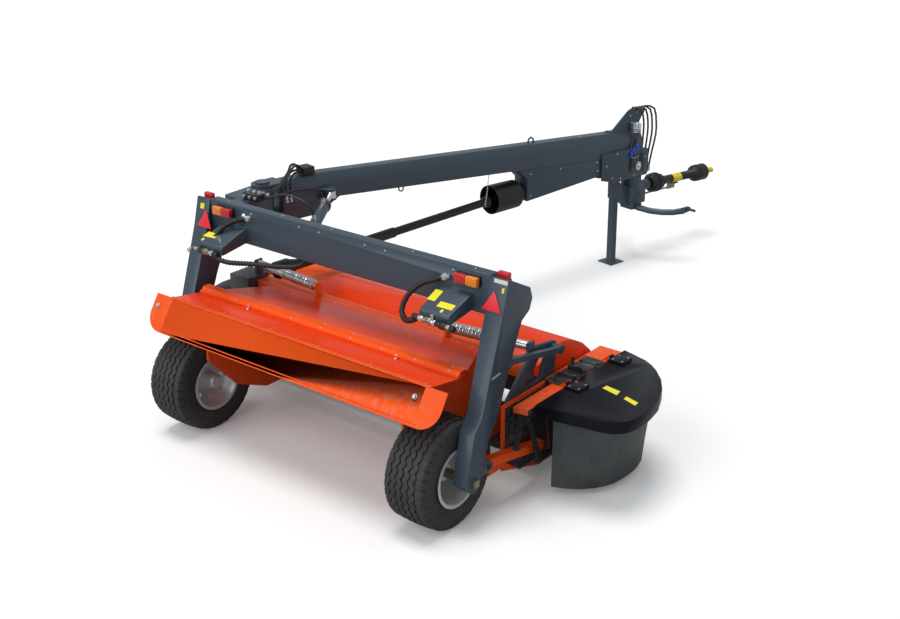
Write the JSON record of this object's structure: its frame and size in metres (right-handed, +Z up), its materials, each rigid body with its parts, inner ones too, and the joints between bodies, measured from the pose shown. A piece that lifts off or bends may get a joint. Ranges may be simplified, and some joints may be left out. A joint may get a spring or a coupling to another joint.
{
  "type": "trailed disc mower conditioner",
  "caption": "Trailed disc mower conditioner with a side-pivoted drawbar, lifting header, tined rotor, cutterbar discs, folding side covers and two wheels.",
  "frame": {"origin": "centre of the machine's box on the ground, standing on its wheels and parking stand", "axes": "+Y is the way it is towed and its longest side, +X its right, +Z up"},
  "size_m": [4.101, 6.9813, 1.748],
  "materials": {
    "slate_paint": "semi-gloss",
    "orange_paint": "gloss",
    "red_orange_paint": "high gloss",
    "black_cover": "gloss",
    "black_plastic": "matt",
    "black_steel": "satin",
    "grey_canvas": "matt",
    "grey_iron": "satin",
    "rubber": "matt",
    "silver_rim": "gloss",
    "yellow_zinc": "satin",
    "chrome": "polished",
    "yellow_guard": "matt",
    "lamp_red": "gloss"
  },
  "bodies": {
    "header": {"a_frame": "slate_paint", "channel_wall_left": "orange_paint", "channel_wall_right": "orange_paint", "crop_ramp": "grey_iron", "cutterbar": "grey_iron", "front_curtain": "grey_canvas", "front_hood": "red_orange_paint", "header_gearbox": "grey_iron", "header_tube": "orange_paint", "hood": "red_orange_paint", "rear_board": "orange_paint", "side_linkage": "black_steel", "side_plate_left": "orange_paint", "side_plate_right": "orange_paint", "spring_left": "chrome", "spring_right": "chrome"},
    "carrier": {"axle_left": "yellow_zinc", "axle_right": "yellow_zinc", "lamp_left": "lamp_red", "lamp_right": "lamp_red", "leg_left": "slate_paint", "leg_right": "slate_paint", "marker_left": "lamp_red", "marker_right": "lamp_red", "top_beam": "slate_paint"},
    "cover_left": {"cover_left": "black_cover", "skirt_left": "grey_canvas"},
    "cover_right": {"cover_right": "black_cover", "skirt_right": "grey_canvas"},
    "disc_1": {"disc_1": "grey_iron"},
    "disc_2": {"disc_2": "grey_iron"},
    "disc_3": {"disc_3": "grey_iron"},
    "disc_4": {"disc_4": "grey_iron"},
    "disc_5": {"disc_5": "grey_iron"},
    "disc_6": {"disc_6": "grey_iron"},
    "disc_7": {"disc_7": "grey_iron"},
    "disc_8": {"disc_8": "grey_iron"},
    "drawbar": {"drawbar_beam": "slate_paint", "driveline_bell": "black_plastic", "driveline_box": "slate_paint", "gearbox_front": "grey_iron", "hitch_head": "slate_paint", "nose_mast": "slate_paint"},
    "driveline": {"driveline_guard": "black_plastic"},
    "turret": {"hitch_turret": "slate_paint", "hitch_yoke": "slate_paint", "pto_bracket": "yellow_zinc", "pto_guard": "black_plastic"},
    "lower_link": {"lower_link_left": "orange_paint", "lower_link_right": "orange_paint"},
    "pto_shaft": {"pto_shaft": "yellow_guard"},
    "wheel_left": {"rim_left": "silver_rim", "tyre_left": "rubber"},
    "wheel_right": {"rim_right": "silver_rim", "tyre_right": "rubber"},
    "rotor": {"rotor": "black_steel"},
    "stand": {"stand": "slate_paint"},
    "swing_barrel": {"swing_barrel": "slate_paint"},
    "swing_rod": {"swing_rod": "chrome"},
    "upper_link": {"upper_link": "slate_paint"}
  },
  "joints": [
    {"name": "wheel_right_spin", "type": "hinge", "parent": "carrier", "child": "wheel_right", "pos_m": [1.0265, -3.09459, 0.39], "axis": [1, 0, 0], "continuous": true},
    {"name": "wheel_left_spin", "type": "hinge", "parent": "carrier", "child": "wheel_left", "pos_m": [-1.3575, -3.09459, 0.39], "axis": [1, 0, 0], "continuous": true},
    {"name": "drawbar_swing", "type": "hinge", "parent": "carrier", "child": "drawbar", "pos_m": [-1.5955, -2.11459, 1.545], "axis": [0, 0, 1], "range_deg": [0, 23.5]},
    {"name": "swing_barrel_turn", "type": "hinge", "parent": "carrier", "child": "swing_barrel", "pos_m": [-0.7855, -2.38959, 1.52], "axis": [0, 0, 1], "range_deg": [0, 7.41]},
    {"name": "swing_rod_slide", "type": "slide", "parent": "swing_barrel", "child": "swing_rod", "axis": [-0.5647, 0.8253, 0], "range_m": [0, 0.19205]},
    {"name": "driveline_tilt", "type": "hinge", "parent": "drawbar", "child": "driveline", "pos_m": [-1.07316, 0.45281, 1.03], "axis": [0.9799, -0.1994, 0], "range_deg": [-5.44, 0]},
    {"name": "stand_slide", "type": "slide", "parent": "drawbar", "child": "stand", "axis": [0, 0, 1], "range_m": [0, 0.28]},
    {"name": "hitch_swivel", "type": "hinge", "parent": "drawbar", "child": "turret", "pos_m": [-0.71429, 2.21667, 0.9], "axis": [0, 0, 1], "range_deg": [-60, 60]},
    {"name": "pto_spin", "type": "hinge", "parent": "turret", "child": "pto_shaft", "pos_m": [-0.66545, 2.45675, 0.75], "axis": [0.1992, 0.979, -0.0436], "continuous": true},
    {"name": "header_lift", "type": "hinge", "parent": "carrier", "child": "lower_link", "pos_m": [-0.1655, -2.93459, 0.45], "axis": [1, 0, 0], "range_deg": [0, 21.71]},
    {"name": "upper_link_turn", "type": "hinge", "parent": "carrier", "child": "upper_link", "pos_m": [1.2445, -2.66459, 1.095], "axis": [1, 0, 0], "range_deg": [0, 21.73]},
    {"name": "header_level", "type": "hinge", "parent": "lower_link", "child": "header", "pos_m": [-0.1655, -2.28459, 0.32], "axis": [1, 0, 0], "range_deg": [-21.73, 0]},
    {"name": "rotor_spin", "type": "hinge", "parent": "header", "child": "rotor", "pos_m": [-0.1655, -2.33459, 0.44], "axis": [1, 0, 0], "continuous": true},
    {"name": "cover_right_fold", "type": "hinge", "parent": "header", "child": "cover_right", "pos_m": [1.3995, -1.93459, 0.771], "axis": [0, -1, 0], "range_deg": [0, 90]},
    {"name": "cover_left_fold", "type": "hinge", "parent": "header", "child": "cover_left", "pos_m": [-1.8655, -1.93459, 0.771], "axis": [0, 1, 0], "range_deg": [0, 90]},
    {"name": "disc_1_spin", "type": "hinge", "parent": "header", "child": "disc_1", "pos_m": [-1.548, -1.73459, 0.125], "axis": [0, 0, 1], "continuous": true},
    {"name": "disc_2_spin", "type": "hinge", "parent": "header", "child": "disc_2", "pos_m": [-1.153, -1.73459, 0.125], "axis": [0, 0, 1], "continuous": true},
    {"name": "disc_3_spin", "type": "hinge", "parent": "header", "child": "disc_3", "pos_m": [-0.758, -1.73459, 0.125], "axis": [0, 0, 1], "continuous": true},
    {"name": "disc_4_spin", "type": "hinge", "parent": "header", "child": "disc_4", "pos_m": [-0.363, -1.73459, 0.125], "axis": [0, 0, 1], "continuous": true},
    {"name": "disc_5_spin", "type": "hinge", "parent": "header", "child": "disc_5", "pos_m": [0.032, -1.73459, 0.125], "axis": [0, 0, 1], "continuous": true},
    {"name": "disc_6_spin", "type": "hinge", "parent": "header", "child": "disc_6", "pos_m": [0.427, -1.73459, 0.125], "axis": [0, 0, 1], "continuous": true},
    {"name": "disc_7_spin", "type": "hinge", "parent": "header", "child": "disc_7", "pos_m": [0.822, -1.73459, 0.125], "axis": [0, 0, 1], "continuous": true},
    {"name": "disc_8_spin", "type": "hinge", "parent": "header", "child": "disc_8", "pos_m": [1.217, -1.73459, 0.125], "axis": [0, 0, 1], "continuous": true}
  ],
  "couplings": [
    {"joint": "swing_barrel_turn", "follows": "drawbar_swing", "ratio": 0.315},
    {"joint": "swing_rod_slide", "follows": "drawbar_swing", "m_per_rad": 0.468},
    {"joint": "driveline_tilt", "follows": "header_lift", "ratio": -0.2504},
    {"joint": "upper_link_turn", "follows": "header_lift", "ratio": 1},
    {"joint": "header_level", "follows": "header_lift", "ratio": -1},
    {"joint": "disc_2_spin", "follows": "disc_1_spin", "ratio": -1},
    {"joint": "disc_3_spin", "follows": "disc_1_spin", "ratio": 1},
    {"joint": "disc_4_spin", "follows": "disc_1_spin", "ratio": -1},
    {"joint": "disc_5_spin", "follows": "disc_1_spin", "ratio": 1},
    {"joint": "disc_6_spin", "follows": "disc_1_spin", "ratio": -1},
    {"joint": "disc_7_spin", "follows": "disc_1_spin", "ratio": 1},
    {"joint": "disc_8_spin", "follows": "disc_1_spin", "ratio": -1}
  ]
}
